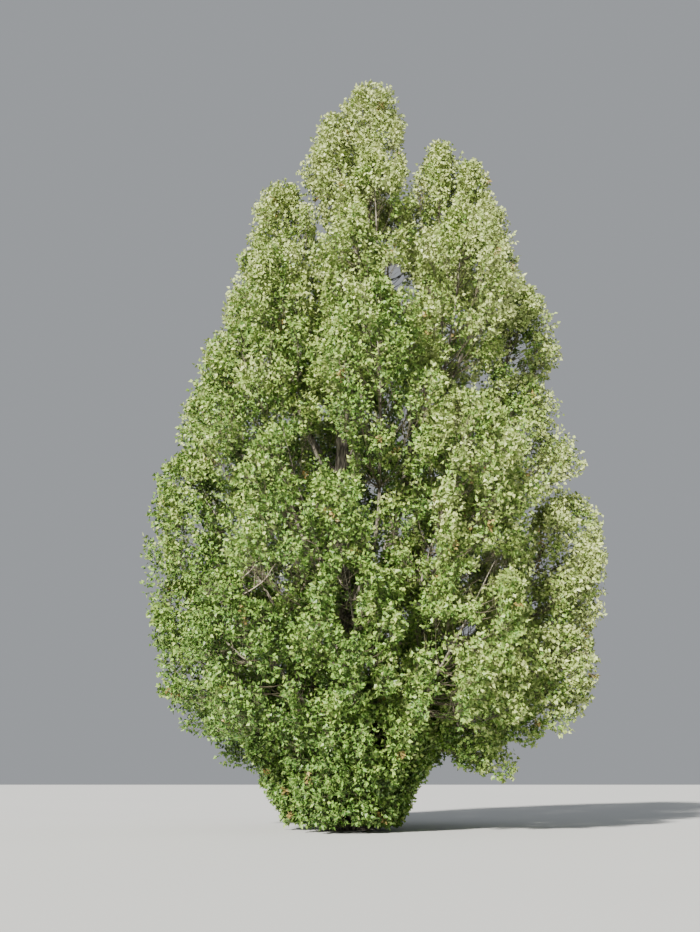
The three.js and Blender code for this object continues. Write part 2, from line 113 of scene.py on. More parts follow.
def add_node(tree, kind, settings=None, **inputs):
    """A new node with its settings, and with each input given a value or linked to a socket.

    An input goes by its name, with _ for a space, or by its number, as in _0.
    """
    node = tree.nodes.new(kind)
    for name, value in (settings or {}).items():
        setattr(node, name, value)
    for name, value in inputs.items():
        socket = node.inputs[int(name[1:]) if name[0] == "_" else name.replace("_", " ")]
        if isinstance(value, bpy.types.NodeSocket):
            tree.links.new(value, socket)
        else:
            socket.default_value = value
    return node


def noise_at(tree, place, scale, detail):
    return add_node(tree, "ShaderNodeTexNoise", Vector=place, Scale=scale, Detail=detail).outputs["Fac"]


def ranged(tree, value, low=0.0, high=1.0, least=0.0, most=1.0):
    """A value that runs from low to high, spread from least to most instead."""
    ends = {"From_Min": low, "From_Max": high, "To_Min": least, "To_Max": most}
    return add_node(tree, "ShaderNodeMapRange", Value=value, **ends).outputs["Result"]


def scaled(tree, colour, factor):
    node = add_node(tree, "ShaderNodeVectorMath", {"operation": "SCALE"}, _0=colour, Scale=factor)
    return node.outputs["Vector"]


def new_material(name, roughness):
    """A node material, with its tree, its shader and its place in the object's own coordinates."""
    material = bpy.data.materials.new(name)
    material.use_nodes = True
    tree = material.node_tree
    shader = tree.nodes["Principled BSDF"]
    shader.inputs["Roughness"].default_value = roughness
    place = tree.nodes.new("ShaderNodeTexCoord").outputs["Object"]
    return material, tree, shader, place


def new_piece(name, vertices, faces, edges=()):
    mesh = bpy.data.meshes.new(name)
    mesh.from_pydata(vertices, edges, faces)
    mesh.update()
    piece = bpy.data.objects.new(name, mesh)
    bpy.context.scene.collection.objects.link(piece)
    return piece


floor_material, tree, shader, place = new_material("floor_paint", FLOOR_ROUGHNESS)
shade = ranged(tree, noise_at(tree, place, 0.08, 2.0), 0, 1, *FLOOR_SHADES)
tree.links.new(scaled(tree, FLOOR_COLOUR, shade), shader.inputs["Base Color"])
corners = [(x * FLOOR_REACH, y * FLOOR_REACH, 0) for x, y in ((-1, -1), (1, -1), (1, 1), (-1, 1))]
floor = new_piece("floor", corners, [(0, 1, 2, 3)])
floor.data.materials.append(floor_material)


# The trunk: one stem of pale grey wood to 22.8 m, slightly bowed, with a flared and buttressed foot.
# Its bark is furrowed low down, with long ridges that join and part, and smoother towards the tip.
TRUNK_HEIGHT = 22.8
TRUNK_RADIUS = 0.54
TRUNK_TIP_RADIUS = 0.075
TRUNK_TAPER = 1.15
TRUNK_LEAN = 0.75
TRUNK_BOW = 0.75
TRUNK_BOW_TO_FRONT = 0.25  # of the bow to the side
FLARE_RADIUS = 0.36
FLARE_HEIGHT = 0.4
BUTTRESSES = 7
BUTTRESS_DEPTH = 0.22
TRUNK_SIDES = 120
TRUNK_RINGS = 200
RING_CROWDING = 1.25  # to the foot
RIDGE_WIDTH = 0.085
RIDGE_STRETCH = 0.2  # across the ridges over along them
RIDGE_RELIEF = 0.07  # of the limb's radius
GREATEST_RELIEF = 0.035
RIDGE_NOISE = (1.0, 2.1, 2, 0.9, 1.6)  # roughness, step, octaves, offset and gain
RIDGE_LEVEL = 0.9  # of that noise, on the limb's own radius
BARK_ROUGHNESS = 0.88
BARK_STRETCH = 0.16  # of its pattern, across over along
BARK_FURROW = (0.34, (0.085, 0.07, 0.05, 1))
BARK_RIDGE = (0.66, (0.4, 0.36, 0.29, 1))
BARK_MOSS = (0.2, 0.21, 0.12, 1)


def trunk_point(t):
    bow = -TRUNK_BOW * np.sin(np.pi * t) * np.sqrt(t)
    return np.stack([TRUNK_LEAN * t * t + bow, TRUNK_BOW_TO_FRONT * bow, TRUNK_HEIGHT * t], -1)


def trunk_radius(t, angle):
    stem = TRUNK_TIP_RADIUS + (TRUNK_RADIUS - TRUNK_TIP_RADIUS) * (1 - t) ** TRUNK_TAPER
    hollow = 1 - BUTTRESS_DEPTH * (1 - np.cos(BUTTRESSES * angle))
    return stem + FLARE_RADIUS * np.exp(-t * TRUNK_HEIGHT / FLARE_HEIGHT) * hollow


def ridges(point, radius):
    """How far the bark stands out at a point: long ridges that run up the limb and join and part."""
    fine = Vector((point[0], point[1], point[2] * RIDGE_STRETCH)) / RIDGE_WIDTH
    height = noise.ridged_multi_fractal(fine, *RIDGE_NOISE) - RIDGE_LEVEL
    return height * min(GREATEST_RELIEF, RIDGE_RELIEF * radius)


def at_angle(side, across, angle):
    """The direction at an angle from one to the other."""
    return side * np.cos(angle)[..., None] + across * np.sin(angle)[..., None]


def limb_surface(points, radii, side, across):
    """Vertices and faces of a closed limb, from a row of radii for each point along it."""
    rings, sides = radii.shape
    directions = at_angle(side[:, None], across[:, None], np.arange(sides) * 2 * np.pi / sides)
    surface = points[:, None, :] + directions * radii[:, :, None]
    relief = np.array([[ridges(p, r) for p, r in zip(*ring)] for ring in zip(surface, radii)])
    surface = surface + directions * relief[:, :, None]
    vertices = np.concatenate([surface.reshape(-1, 3), points[:1], points[-1:]])
    foot, tip, last = rings * sides, rings * sides + 1, (rings - 1) * sides
    turns = [(k, (k + 1) % sides) for k in range(sides)]
    faces = [(n + k, n + j, n + sides + j, n + sides + k) for n in range(0, last, sides) for k, j in turns]
    faces += [(foot, j, k) for k, j in turns]
    faces += [(tip, last + k, last + j) for k, j in turns]
    return vertices, faces


def ramped(tree, value, low, high):
    """Colours between two stops, each a place in the value and a colour."""
    node = add_node(tree, "ShaderNodeValToRGB", Fac=value)
    for stop, (position, colour) in zip(node.color_ramp.elements, (low, high)):
        stop.position, stop.color = position, colour
    return node.outputs["Color"]


def mixed(tree, share, first, second, blend="MIX"):
    """Two colours blended by the share of the second."""
    settings = {"data_type": "RGBA", "blend_type": blend}
    return add_node(tree, "ShaderNodeMix", settings, _0=share, _6=first, _7=second).outputs[2]


def product(tree, first, second):
    return add_node(tree, "ShaderNodeMath", {"operation": "MULTIPLY"}, _0=first, _1=second).outputs[0]


def roughen(tree, shader, height, strength, distance):
    bump = add_node(tree, "ShaderNodeBump", Height=height, Strength=strength, Distance=distance)
    tree.links.new(bump.outputs["Normal"], shader.inputs["Normal"])


def make_bark():
    """Streaks between furrow and ridge, cut up by cracks, with patches of green film."""
    material, tree, shader, place = new_material("poplar_bark", BARK_ROUGHNESS)
    along_limb = add_node(tree, "ShaderNodeMapping", Vector=place, Scale=(1, 1, BARK_STRETCH)).outputs[0]
    streaks = noise_at(tree, along_limb, 13.0, 6.0)
    plates = add_node(
        tree, "ShaderNodeTexVoronoi", {"feature": "DISTANCE_TO_EDGE"}, Vector=along_limb, Scale=9.0
    )
    cracks = ranged(tree, plates.outputs["Distance"], high=0.16)
    cracked = mixed(tree, 0.75, ramped(tree, streaks, BARK_FURROW, BARK_RIDGE), cracks, "MULTIPLY")
    mossy = ranged(tree, noise_at(tree, place, 1.7, 4.0), low=0.52, high=0.7, most=0.5)
    tree.links.new(mixed(tree, mossy, cracked, BARK_MOSS), shader.inputs["Base Color"])
    roughen(tree, shader, product(tree, streaks, cracks), 0.7, 0.02)
    return material


bark = make_bark()


def new_limb(name, vertices, faces):
    piece = new_piece(name, vertices, faces)
    piece.data.materials.append(bark)
    piece.data.shade_smooth()
    return piece


t = np.linspace(0, 1, TRUNK_RINGS) ** RING_CROWDING
vertices, faces = limb_surface(
    trunk_point(t),
    trunk_radius(t[:, None], np.arange(TRUNK_SIDES) * 2 * np.pi / TRUNK_SIDES),
    np.tile([1.0, 0, 0], (TRUNK_RINGS, 1)),
    np.tile([0, 1.0, 0], (TRUNK_RINGS, 1)),
)
vertices[:, 2] = np.maximum(vertices[:, 2], 0)
trunk = new_limb("trunk_wood", vertices, faces)
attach(trunk, "root")
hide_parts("trunk")


# The second leader: a limb nearly as tall as the trunk, which leaves it low on the right, swings out
# and ends upright. It grows from the trunk's wood, with a collar where it leaves.
LEADER_FORK = 4.4
LEADER_TIP = np.array([3.45, 0.3, 20.6])
LEADER_END = np.array([0.1, 0, 1.0])  # the direction in which it ends
LEADER_RADIUS = 0.27
LEADER_TIP_RADIUS = 0.075
LIMB_BEND = 0.45  # from a limb's end back to the corner of its bend, of its reach
LIMB_TAPER = 1.2
LEADER_SIDES = 56
LEADER_RINGS = 120
COLLAR = 0.7  # how much thicker a limb is where it leaves another
COLLAR_LENGTH = 2.2  # of its radius
CURVE_SAMPLES = 2000
NEARLY_UP = [0.05, 0.3, 1.0]  # which no limb runs along


def unit(vectors):
    return vectors / np.maximum(np.linalg.norm(vectors, axis=-1, keepdims=True), 1e-9)


def curved(start, corner, end, t):
    """Points at t on a bend from start to end, which leaves towards the corner and comes in from it."""
    t = np.asarray(t)[..., None]
    return start * (1 - t) ** 2 + corner * 2 * t * (1 - t) + end * t * t


def bend(start, end, direction, t):
    """Points on a bend from start to end, which it reaches in the given direction."""
    reach = np.linalg.norm(end - start, axis=-1, keepdims=True)
    return curved(start, end - unit(direction) * LIMB_BEND * reach, end, t)


def height_finder(curve):
    """The point at a height on a curve that climbs all the way."""
    samples = curve(np.linspace(0, 1, CURVE_SAMPLES))
    return lambda height: np.array([np.interp(height, samples[:, 2], samples[:, k]) for k in range(3)])


def limb_along(points, thick, thin, sides):
    """Vertices and faces of a limb that tapers along its points and has a collar at its start."""
    t = np.linspace(0, 1, len(points))
    radius = thin + (thick - thin) * (1 - t) ** LIMB_TAPER
    run = np.concatenate([[0], np.cumsum(np.linalg.norm(np.diff(points, axis=0), axis=1))])
    radius = radius * (1 + COLLAR * np.exp(-run / (COLLAR_LENGTH * thick)))
    forward = unit(np.gradient(points, axis=0))
    side = unit(np.cross(forward, NEARLY_UP))
    radii = np.repeat(radius[:, None], sides, axis=1)
    return limb_surface(points, radii, side, unit(np.cross(forward, side)))


on_trunk = height_finder(trunk_point)
leader_start = on_trunk(LEADER_FORK)


def leader_point(t):
    return bend(leader_start, LEADER_TIP, LEADER_END, t)


on_leader = height_finder(leader_point)
points = leader_point(np.linspace(0, 1, LEADER_RINGS))
leader = new_limb("leader_wood", *limb_along(points, LEADER_RADIUS, LEADER_TIP_RADIUS, LEADER_SIDES))
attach(leader, "root")
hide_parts("leader_right")


# The boughs: tapering limbs that leave the trunk and the leader in tiers, climb steeply and each end in
# the foot of a mass of foliage. Each mass keeps to a flame-shaped space of its own.
CROWN_RADIUS = 7.9
CROWN_WAIST = 8.0  # the height up to which the crown is at its widest
CROWN_POINT = 30.5
CROWN_POWER = 0.65
CROWN_OFFSET = 0.9  # of its middle, to the right of the trunk's foot
CROWN_DRIFT = 0.6  # and how much further at the top
TREE_HEIGHT = 30.1
LOWEST_FORK = 0.35
LOWEST_FORK_SHARE = 0.35  # of the height of the mass's foot
FORK_ROUNDS = 12
LEADER_SECTOR = 0.35  # masses further right, as a cosine, may grow from the leader
LEADER_CLEAR = 2.5  # from the leader's fork to its lowest bough, at least
BOUGH_TIP_RADIUS = 0.06
BOUGH_SIDES = 24
BOUGH_RINGS = 28
FLAME_SKEW = 0.75  # less is fuller low down
FLAME_POWER = 0.55  # less is blunter
# Each tier has what its masses share: their lean from upright, the length and radius of their spaces,
# how steeply their boughs rise, and the boughs' radius, or 0 where only a stem bears the mass. A mass
# has its direction, anticlockwise from the right, the height of its tip, how far out that is as a share
# of the crown's radius, and what differs.
TIERS = [
    ("base", {"lean": 24, "length": 6.6, "girth": 2.6, "rise": 20, "bough": 0}, [
        (-102, 8.3, 0.6, {"length": 9.8, "lean": 21}),
        (-30, 4.4, 0.33, {"length": 5.6, "girth": 1.7}),
        (75, 5.4, 0.42, {"girth": 2.2}),
        (172, 5.4, 0.54, {"girth": 2.1}),
    ]),
    ("skirt", {"lean": 48, "length": 6.4, "girth": 2.9, "rise": 32, "bough": 0.15}, [
        (4, 8.6, 1.02, {"lean": 56, "girth": 2.5}),
        (-22, 4.2, 0.76, {"lean": 72, "length": 4.6, "girth": 1.8, "bough": 0}),
        (-25, 6.0, 0.98, {"lean": 60, "girth": 2.5}),
        (-62, 8.0, 0.94),
        (-100, 8.2, 0.9),
        (-138, 7.8, 0.94),
        (-176, 8.4, 0.99),
        (140, 7.2, 0.97),
        (96, 7.8, 0.96, {"bough": 0}),
        (48, 7.4, 0.96),
    ]),
    ("lower", {"lean": 34, "length": 7.6, "girth": 3.5, "rise": 46, "bough": 0.16}, [
        (-4, 11.7, 0.97),
        (-64, 13.6, 0.92),
        (-116, 12.4, 0.94),
        (-175, 13.2, 0.99),
        (122, 13.2, 0.96),
        (60, 12.6, 0.96),
    ]),
    ("middle", {"lean": 23, "length": 7.4, "girth": 3.2, "rise": 52, "bough": 0.13}, [
        (-14, 16.2, 0.81),
        (-92, 17.8, 0.86),
        (-142, 17.0, 0.94),
        (166, 17.6, 0.96, {"bough": 0}),
        (108, 17.2, 0.93, {"bough": 0}),
        (44, 17.6, 0.86, {"bough": 0}),
    ]),
    ("upper", {"lean": 13, "length": 6.8, "girth": 2.8, "rise": 54, "bough": 0}, [
        (-2, 20.4, 0.9),
        (-48, 22.0, 0.82),
        (-104, 21.8, 0.7),
        (-152, 21.0, 0.84),
        (165, 21.8, 0.86),
        (108, 22.8, 0.88),
        (48, 23.0, 0.82),
    ]),
    ("top", {"lean": 7, "length": 6.4, "girth": 2.3, "rise": 58, "bough": 0}, [
        (-4, 26.2, 0.92, {"girth": 2.0}),
        (-14, 24.0, 0.84, {"girth": 2.0}),
        (178, 25.4, 0.96),
        (190, 28.4, 0.86, {"girth": 2.0}),
        (-100, 25.2, 0.55),
        (85, 26.2, 0.7),
    ]),
]
CROWN_TOP = ("foliage_crown_top", trunk_point(np.array(1.0)), np.array([0.86, 0, TREE_HEIGHT]), 2.4)
LEADER_TOP = ("foliage_leader_top", LEADER_TIP, np.array([3.8, 0.3, 27.3]), 2.4)


def on_crown(azimuth, height, share):
    """The point at an azimuth and a height, at a share of the crown's radius there."""
    rise = max(0.0, (height - CROWN_WAIST) / (CROWN_POINT - CROWN_WAIST))
    reach = CROWN_RADIUS * (1 - rise * rise) ** CROWN_POWER * share
    middle = CROWN_OFFSET + CROWN_DRIFT * (height / TREE_HEIGHT) ** 2
    return np.array([middle + reach * math.cos(azimuth), reach * math.sin(azimuth), height])


def fork_height(find, foot, rise):
    """The height on a limb from which a bough climbs to a foot at an angle."""
    fork = max(foot[2], LOWEST_FORK)
    for _ in range(FORK_ROUNDS):
        start = find(fork)
        across = math.hypot(foot[0] - start[0], foot[1] - start[1])
        lower = foot[2] - across * math.tan(math.radians(rise))
        fork = max(LOWEST_FORK, LOWEST_FORK_SHARE * foot[2], lower)
    return fork


def root_for(azimuth, foot, rise):
    """Where on the leader or the trunk a bough to a foot starts."""
    fork = fork_height(on_leader, foot, rise)
    if math.cos(azimuth) > LEADER_SECTOR and fork > LEADER_FORK + LEADER_CLEAR:
        return on_leader(fork)
    return on_trunk(fork_height(on_trunk, foot, rise))


# Each mass: its name, the foot, tip and radius of its space, the root of its stem, and the radius of the
# limb that its stem grows on from, or 0.
masses = []
bough_vertices, bough_faces, bough_nodes = [], [], []
for tier, shared, rows in TIERS:
    for index, (degrees, tip_height, share, *changes) in enumerate(rows, 1):
        sizes = dict(shared, **dict(*changes))
        azimuth, lean = math.radians(degrees), math.radians(sizes["lean"])
        axis = np.array([
            math.sin(lean) * math.cos(azimuth),
            math.sin(lean) * math.sin(azimuth),
            math.cos(lean),
        ])
        tip = on_crown(azimuth, tip_height, share)
        foot = tip - axis * sizes["length"]
        root = root_for(azimuth, foot, sizes["rise"])
        thick = BOUGH_TIP_RADIUS if sizes["bough"] else 0
        masses.append((f"foliage_{tier}_{index}", foot, tip, sizes["girth"], root, thick))
        if not thick:
            continue
        points = bend(root, foot, axis, np.linspace(0, 1, BOUGH_RINGS))
        vertices, faces = limb_along(points, sizes["bough"], BOUGH_TIP_RADIUS, BOUGH_SIDES)
        first = sum(len(v) for v in bough_vertices)
        bough_vertices.append(vertices)
        bough_faces += [tuple(first + k for k in face) for face in faces]
        bough_nodes.append(f"bough_{tier}_{index}")
masses.append((*CROWN_TOP, CROWN_TOP[1], TRUNK_TIP_RADIUS))
masses.append((*LEADER_TOP, LEADER_TOP[1], LEADER_TIP_RADIUS))

boughs = new_limb("bough_wood", np.concatenate(bough_vertices), bough_faces)
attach(boughs, "root")
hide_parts(*bough_nodes)


# The stems inside the masses: each mass has one along its axis, of the same grey wood, which grows on
# from its bough or straight from the trunk. Branchlets leave it and turn up beside it.
SEED = 1874
STEM_RADIUS = 0.09
STEM_TIP_RADIUS = 0.012
STEM_SIDES = 9
STEM_POINTS = 14
STEM_TOP = 0.97  # of the length of its space
STEM_JOINT = 0.3  # where a stem without a bough comes up to its axis
SUCKER_STEM_JOINT = 0.45  # and where that starts below the ground
STEM_SWAY = 0.012  # of its length
SWAY_TURN = 4.2
LOW_AND_HIGH = (6, 13)  # the heights that low and high stand for
FOOT_MIDDLE = np.array([-0.3, -0.9])
FOOT_DEPTH = 1.35  # from front to back, over across
FOOT_REACH = 1.9  # how far out the bush at the foot reaches at the ground
FOOT_SPREAD = 0.6  # and how much further for each metre of height
CLOSING = 0.5  # how much further a mass reaches to the crown's middle, where that closes up
CLOSING_FROM = (9, 15)  # the heights where that starts, and where it is full
CLOSING_NEAR = 1.5  # nearer than this to the crown's middle it is less
RAGGEDNESS = 0.3  # of the windows' edges
RAGGED_WAVES = ((5.1, 3.3), (-2.9, 4.3))
# Where the sky or a dark hollow shows through the front of the crown: x and z in the plane of the
# trunk, half width, half height, and the depth y up to which the view is open, past the tree for sky.
WINDOWS = [
    (1.66, 21.15, 0.34, 0.36, 99), (1.86, 20.7, 0.2, 0.5, 99), (2.52, 27.1, 0.28, 1.3, 99),
    (2.11, 15.09, 0.12, 0.35, 99), (2.86, 16.0, 0.12, 0.25, 99), (3.7, 16.96, 0.14, 0.2, 99),
    (3.01, 9.6, 0.2, 0.2, 99), (4.2, 6.74, 0.34, 0.22, 99), (1.23, 23.95, 0.5, 1.0, -1.2),
    (-1.75, 13.4, 0.8, 0.8, -1.2), (-2.8, 8.5, 1.25, 0.75, -1.6), (-0.11, 7.9, 0.3, 1.4, -2.6),
    (0.75, 5.0, 0.17, 0.4, -4.2), (1.0, 5.7, 0.17, 0.4, -4.2), (1.35, 6.3, 0.18, 0.4, -4.2),
    (2.1, 6.2, 0.35, 0.24, -3.2), (2.7, 6.5, 0.4, 0.22, -3.0), (3.3, 6.9, 0.4, 0.24, -2.8),
    (4.5, 8.6, 0.6, 0.28, -2.0), (5.3, 9.2, 0.6, 0.32, -1.6), (4.48, 16.96, 0.7, 0.6, -1.2),
    (3.32, 3.43, 0.5, 1.0, -3.4), (-0.45, 13.4, 0.42, 0.8, -0.9), (2.14, 14.32, 0.25, 0.5, -1.2),
]

chance = np.random.default_rng(SEED)
FOOT = np.array([m[1] for m in masses])
TIP = np.array([m[2] for m in masses])
GIRTH = np.array([m[3] for m in masses])
IN_BUSH = np.array([m[0].startswith("foliage_base") for m in masses])
LENGTH = np.linalg.norm(TIP - FOOT, axis=1)
AXIS = (TIP - FOOT) / LENGTH[:, None]
SIDE = unit(np.cross([0.0, 1.0, 0.0], AXIS))
ACROSS = np.cross(SIDE, AXIS)


def fullness(t):
    """How full a flame is at t along it, from 0 to 1."""
    inside = np.clip(t, 0, 1)
    return np.where((t > 0) & (t < 1), np.sin(np.pi * inside**FLAME_SKEW).clip(0) ** FLAME_POWER, 0)


def depth_in(points, which):
    """How far points lie out from the axis of their space, as a share of its radius there."""
    offset = points - FOOT[which]
    t = (offset * AXIS[which]).sum(-1) / LENGTH[which]
    full = fullness(t) * GIRTH[which]
    radial = np.linalg.norm(offset - AXIS[which] * (t * LENGTH[which])[..., None], axis=-1)
    return np.where(full > 0, radial / np.maximum(full, 1e-9), np.inf)


def held(points, which, most):
    """Whether each point is no deeper than most, and is nearer to its own space's axis than to others."""
    own = depth_in(points, which)
    inside = own <= most
    for other in range(len(masses)):
        inside &= (which == other) | (depth_in(points, other) > own)
    return inside


def in_crown(points):
    """Whether each point lies in any space."""
    inside = np.zeros(points.shape[:-1], bool)
    for space in range(len(masses)):
        inside |= depth_in(points, space) <= 1
    return inside


def in_window(points):
    """Whether each point stands in a window, as seen by the viewer."""
    scale = EYE[1] / (EYE[1] - points[:, 1])
    x = points[:, 0] * scale
    z = EYE[2] + (points[:, 2] - EYE[2]) * scale
    first, second = (np.sin(of_x * x + of_z * z) for of_x, of_z in RAGGED_WAVES)
    ragged = 1 + RAGGEDNESS * first * second
    seen = np.zeros(len(points), bool)
    for middle_x, middle_z, half_width, half_height, back in WINDOWS:
        across = ((x - middle_x) / half_width) ** 2 + ((z - middle_z) / half_height) ** 2
        seen |= (across < ragged) & (points[:, 1] < back)
    return seen


def from_foot(points):
    """How far each point is from the middle of the bush at the foot, as if that were round."""
    off = points[:, :2] - FOOT_MIDDLE
    return np.hypot(off[:, 0], off[:, 1] / FOOT_DEPTH)


def in_foot(points, which):
    """Whether each point of a mass at the foot is within the bush there, which narrows to the ground."""
    return ~IN_BUSH[which] | (from_foot(points) < FOOT_REACH + FOOT_SPREAD * points[:, 2])


def along(which, t):
    return FOOT[which] + AXIS[which] * (t * LENGTH[which])[..., None]


def outward(which, angle):
    return at_angle(SIDE[which], ACROSS[which], angle)


def room(which, t, angle):
    """How far out each mass has room at t along it in a direction, as a share of its space's radius."""
    place = along(which, t)
    off = np.array([CROWN_OFFSET, 0, 0]) - place * [1, 1, 0]
    distance = np.maximum(np.linalg.norm(off, axis=-1), CLOSING_NEAR)
    inward = (outward(which, angle) * off).sum(-1) / distance
    return 1 + CLOSING * np.interp(place[..., 2], CLOSING_FROM, (0, 1)) * np.clip(inward, 0, 1)


def reach_out(which, t, angle, steps=24):
    """How far each space reaches out at t along it, in the direction of an angle round it."""
    most = room(which, t, angle)
    full = GIRTH[which] * fullness(t) * most
    share = (np.arange(steps) + 0.5) / steps
    places = along(which, t)[:, None] + outward(which, angle)[:, None] * (full[:, None] * share)[..., None]
    inside = held(places, np.repeat(which[:, None], steps, axis=1), most[:, None])
    return full * np.cumprod(inside, axis=1).sum(1) / steps


sway_phase = chance.uniform(0, 2 * np.pi, len(masses))


def stem_point(which, t):
    """The point at t along each mass on its stem, which sways a little about the axis."""
    phase = sway_phase[which]
    sway = STEM_SWAY * LENGTH[which] * np.sin(SWAY_TURN * t + phase) * np.sin(np.pi * np.clip(t, 0, 1))
    return along(which, t) + outward(which, phase) * sway[..., None]


def give(piece, name, values):
    """Stores a value or a vector for each of a piece's points."""
    kind, field = ("FLOAT_VECTOR", "vector") if values.ndim == 2 else ("FLOAT", "value")
    attribute = piece.data.attributes.new(name, kind, "POINT")
    attribute.data.foreach_set(field, values.astype(np.float32).ravel())


def given_as(tree, name, kind="FLOAT"):
    node = add_node(tree, "GeometryNodeInputNamedAttribute", {"data_type": kind}, Name=name)
    return node.outputs["Attribute"]


def tree_with(name, inputs):
    """A new node tree for meshes with named inputs, its input node and its output node."""
    tree = bpy.data.node_groups.new(name, "GeometryNodeTree")
    tree.interface.new_socket("Geometry", in_out="INPUT", socket_type="NodeSocketGeometry")
    for title, kind in inputs.items():
        tree.interface.new_socket(title, in_out="INPUT", socket_type="NodeSocket" + kind)
    tree.interface.new_socket("Geometry", in_out="OUTPUT", socket_type="NodeSocketGeometry")
    return tree, tree.nodes.new("NodeGroupInput"), tree.nodes.new("NodeGroupOutput")


def finish_tree(tree, given, made, geometry):
    """Ends a tree: its geometry becomes real and takes the finish given to it."""
    real = add_node(tree, "GeometryNodeRealizeInstances", Geometry=geometry)
    finish = given.outputs["Finish"]
    finished = add_node(tree, "GeometryNodeSetMaterial", Geometry=real.outputs[0], Material=finish)
    tree.links.new(finished.outputs["Geometry"], made.inputs["Geometry"])
    return tree


def wood_tree():
    """Round tapering wood on each polyline."""
    tree, given, made = tree_with("wood_on_lines", {"Sides": "Int", "Finish": "Material"})
    lines = add_node(tree, "GeometryNodeMeshToCurve", Mesh=given.outputs["Geometry"])
    sides = given.outputs["Sides"]
    section = add_node(tree, "GeometryNodeCurvePrimitiveCircle", Resolution=sides, Radius=1.0)
    wood = add_node(
        tree,
        "GeometryNodeCurveToMesh",
        Curve=lines.outputs["Curve"],
        Profile_Curve=section.outputs["Curve"],
        Scale=given_as(tree, "thickness"),
        Fill_Caps=True,
    )
    pointed = add_node(tree, "GeometryNodeMergeByDistance", Geometry=wood.outputs["Mesh"], Distance=1e-5)
    return finish_tree(tree, given, made, pointed.outputs["Geometry"])


def settle(piece, tree, **inputs):
    """Grows a piece by a node tree with the given inputs, and leaves it as a plain mesh."""
    modifier = piece.modifiers.new(tree.name, "NODES")
    modifier.node_group = tree
    for item in tree.interface.items_tree:
        if item.in_out == "INPUT" and item.name in inputs:
            modifier[item.identifier] = inputs[item.name]
    seen = piece.evaluated_get(bpy.context.evaluated_depsgraph_get())
    mesh = bpy.data.meshes.new_from_object(seen)
    piece.modifiers.clear()
    piece.data = mesh
    return piece


wood_on_lines = wood_tree()


def new_wood(name, chains, radii, sides, finish):
    """Thin wood on polylines, with its radius at each of their points."""
    edges, first = [], 0
    for chain in chains:
        edges += [(first + k, first + k + 1) for k in range(len(chain) - 1)]
        first += len(chain)
    piece = new_piece(name, np.concatenate(chains), [], edges)
    give(piece, "thickness", np.concatenate(radii))
    return settle(piece, wood_on_lines, Sides=sides, Finish=finish)


stems, stem_radii = [], []
for space, (_, foot, _, _, root, thick) in enumerate(masses):
    which = np.full(STEM_POINTS, space)
    if thick:
        points = stem_point(which, np.linspace(0, STEM_TOP, STEM_POINTS))
    else:
        joint = SUCKER_STEM_JOINT if foot[2] < 0 else STEM_JOINT
        meet = stem_point(which[:1], np.array([joint]))[0]
        rising = bend(root, meet, AXIS[space], np.linspace(0, 1, STEM_POINTS))
        going_on = stem_point(which[1:], np.linspace(joint, STEM_TOP, STEM_POINTS)[1:])
        points = np.concatenate([rising, going_on])
    taper = (1 - np.linspace(0, 1, len(points))) ** LIMB_TAPER
    stems.append(points)
    stem_radii.append(STEM_TIP_RADIUS + ((thick or STEM_RADIUS) - STEM_TIP_RADIUS) * taper)

stem_wood = new_wood("stem_wood", stems, stem_radii, STEM_SIDES, bark)
stem_wood.data.shade_smooth()
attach(stem_wood, "root")


# The branchlets: grey-brown side shoots that leave the stems outwards, turn up and end near the edge of
# their space, in lobes with creases between them. Each bears a plume of twigs at its end.
BRANCHLETS_PER_AREA = 5.4  # for each square metre of length times girth
BUSH_DENSITY = 2.2  # how much denser they stand in the bush at the foot
BRANCHLET_RADIUS = 0.026
BRANCHLET_SIDES = 4
BRANCHLET_POINTS = 5
LEAST_THICKNESS = 0.4  # of that radius, and the reach over which it would grow by all of it
THICKENING = 2.5
BRANCHLET_CLIMB = 1.15  # up the stem, for each metre out
BRANCHLET_STRAY = (0.2, 0.8)
TURN_STRAY = 0.25
FIRST_TIP = 0.03  # the place of the lowest tip along the mass
TIP_SPAN = 0.95  # from there to the highest
LEAST_SKIN = 0.05
GOLDEN_ANGLE = math.radians(137.508)
PLUME_RADIUS = (0.34, 0.7)
SMALL_PLUME = 0.2  # radius where the space ends in a point
PLUME_SHARE = 0.4  # and how much wider it may be, of the space's radius
PLUME_INSET = 0.85  # from the edge of the space to the tip, of the plume's radius
LEAST_REACH = 0.9  # of the distance to the edge of the space
REACH_SPREAD = 0.3  # how much further the furthest reach
REACH_RARITY = 2.5
LEAST_ROOM = 0.25  # a branchlet with less doesn't grow
SHORTEST_REACH = 0.15
LOBE_SPACING = 1.75  # from middle to middle
LOBE_RADIUS = 0.75  # of that spacing
LOBE_STRAY = 0.2
SKIN = 4  # of a space, over its length times its girth
LOBE_REACH = 1.06  # how far out the furthest stands, of the space's radius
LOBE_FALL = (0.14, 0.32)  # how much less the least does, low and high
LOBE_DEPTH = (0.2, 0.52)  # of the creases between them, low and high
LOBE_MIDDLE = 0.5  # how far out their middles are, of the space's radius
BUSH_LOBES = 0.3  # what is left of them in the bush at the foot
BUSH_INSET = 0.8  # from its edge to the tips, of the plume's radius
STARTS = (0.02, 0.96)  # the part of a mass where they leave its stem
LOWEST_START = 0.12
LOWEST_TIP = 0.2
SUCKER_HEIGHT = 3.0  # below which the bush's shoots rise straight from the trunk
SUCKER_START = 0.12  # their height on the trunk
SUCKER_START_RISE = 0.3  # and how much more for each metre of the tip's
SUCKER_GIRTH_AT = 0.02  # where along the trunk its radius is taken for them
SWING_OUT = 0.62  # to the corner of a branchlet's bend, of its reach
SWING_ON = 0.22
SHELL = 1.25  # how far in from the crown's surface the leaves are dense
DEEP_SHARE = (0.45, 0.3)  # of the branchlets deeper in that bear leaves, low and high

